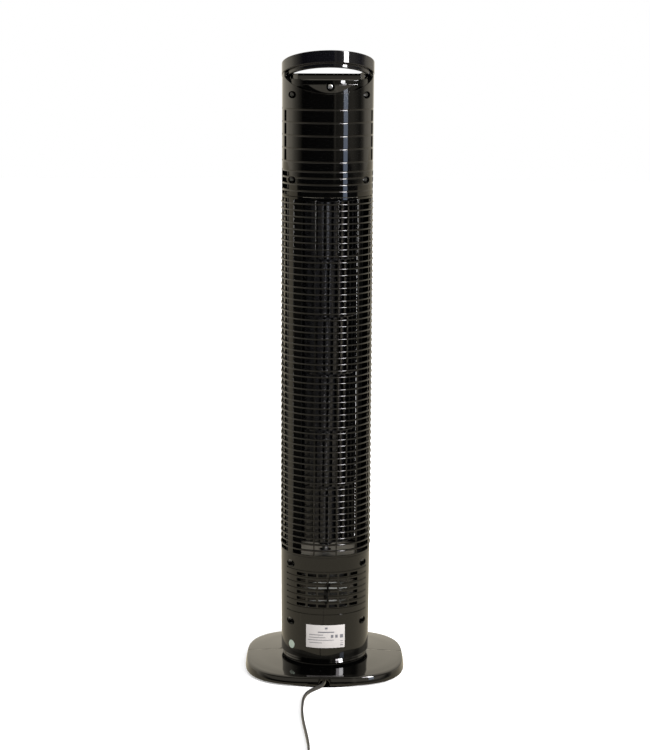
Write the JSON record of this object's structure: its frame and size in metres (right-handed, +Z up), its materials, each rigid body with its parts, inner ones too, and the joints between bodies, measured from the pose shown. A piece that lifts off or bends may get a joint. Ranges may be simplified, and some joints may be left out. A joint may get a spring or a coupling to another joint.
{
  "type": "tower fan",
  "caption": "Slim oscillating tower fan: round column with rear intake grille, tilted carrying hoop, top push buttons, rounded-square base and mains lead.",
  "frame": {"origin": "middle of the base on the surface it stands on", "axes": "+Z up along the column; +Y towards the intake grille and the mains lead; the outlet faces -Y"},
  "size_m": [0.2136, 0.563, 0.7931],
  "materials": {
    "gloss_black": "high gloss moulded ABS",
    "satin_black": "fine satin moulding",
    "rubber": "dull soft PVC and rubber",
    "steel": "rolled steel sheet",
    "zinc": "bright zinc plate",
    "copper": "enamelled copper wire and sintered bronze",
    "board": "green solder mask",
    "nylon": "natural nylon",
    "lens": "smoked indicator window"
  },
  "bodies": {
    "root": {"base_front": "gloss_black", "base_rear": "gloss_black", "foot_pad_1": "rubber", "foot_pad_2": "rubber", "foot_pad_3": "rubber", "foot_pad_4": "rubber", "pedestal": "satin_black", "lock_nut": "satin_black", "turntable_ring": "satin_black", "pivot_retainer": "steel", "strain_relief": "rubber", "power_cord": "rubber", "cord_tail": "rubber", "cord_coil": "rubber", "plug": "satin_black", "plug_pin_1": "zinc", "plug_pin_2": "zinc"},
    "tower": {"rear_cover_lower": "gloss_black", "rear_grille": "gloss_black", "rear_cover_upper": "gloss_black", "handle_screw": "zinc", "front_cover_lower": "gloss_black", "front_grille": "gloss_black", "front_cover_upper": "gloss_black", "top_hoop": "gloss_black", "control_panel": "gloss_black", "indicator_lens": "lens", "control_board": "board", "lower_bulkhead": "satin_black", "upper_bulkhead": "satin_black", "bearing_holder": "rubber", "upper_bush": "copper", "volute_wall": "satin_black", "duct_tongue": "satin_black", "control_cable": "rubber", "motor_laminations": "steel", "motor_winding_top": "copper", "motor_winding_bottom": "copper", "motor_cover_top": "zinc", "motor_cover_bottom": "zinc", "run_capacitor": "satin_black", "column_floor": "satin_black", "thrust_washer": "nylon", "swing_motor": "zinc", "swing_motor_beam": "satin_black"},
    "impeller": {"impeller": "satin_black", "impeller_shaft": "steel", "motor_rotor": "steel"},
    "crank": {"swing_crank": "nylon"},
    "link": {"swing_link": "steel"},
    "button_speed": {"button_speed": "satin_black"},
    "button_timer": {"button_timer": "satin_black"},
    "button_power": {"button_power": "satin_black"},
    "button_mode": {"button_mode": "satin_black"},
    "button_swing": {"button_swing": "satin_black"}
  },
  "joints": [
    {"name": "tower_turn", "type": "hinge", "parent": "root", "child": "tower", "pos_m": [0, 0, 0.0233], "axis": [0, 0, 1], "range_deg": [-38.5, 31.5]},
    {"name": "impeller_spin", "type": "hinge", "parent": "tower", "child": "impeller", "pos_m": [0, 0, 0.39], "axis": [0, 0, 1], "continuous": true},
    {"name": "crank_spin", "type": "hinge", "parent": "tower", "child": "crank", "pos_m": [0.00146, -0.02396, 0.0378], "axis": [0, 0, 1], "continuous": true},
    {"name": "link_swing", "type": "hinge", "parent": "root", "child": "link", "pos_m": [0.02, 0, 0.032], "axis": [0, 0, 1], "range_deg": [-24, 20]},
    {"name": "button_speed_press", "type": "slide", "parent": "tower", "child": "button_speed", "axis": [-0.0039, 0.0644, -0.9979], "range_m": [0, 0.0012], "stiffness_N_per_m": 400, "springref_m": -0.001},
    {"name": "button_timer_press", "type": "slide", "parent": "tower", "child": "button_timer", "axis": [-0.0039, 0.0644, -0.9979], "range_m": [0, 0.0012], "stiffness_N_per_m": 400, "springref_m": -0.001},
    {"name": "button_power_press", "type": "slide", "parent": "tower", "child": "button_power", "axis": [-0.0039, 0.0644, -0.9979], "range_m": [0, 0.0012], "stiffness_N_per_m": 400, "springref_m": -0.001},
    {"name": "button_mode_press", "type": "slide", "parent": "tower", "child": "button_mode", "axis": [-0.0039, 0.0644, -0.9979], "range_m": [0, 0.0012], "stiffness_N_per_m": 400, "springref_m": -0.001},
    {"name": "button_swing_press", "type": "slide", "parent": "tower", "child": "button_swing", "axis": [-0.0039, 0.0644, -0.9979], "range_m": [0, 0.0012], "stiffness_N_per_m": 400, "springref_m": -0.001}
  ],
  "couplings": [
    {"joint": "link_swing", "follows": "tower_turn", "ratio": 0.57}
  ]
}
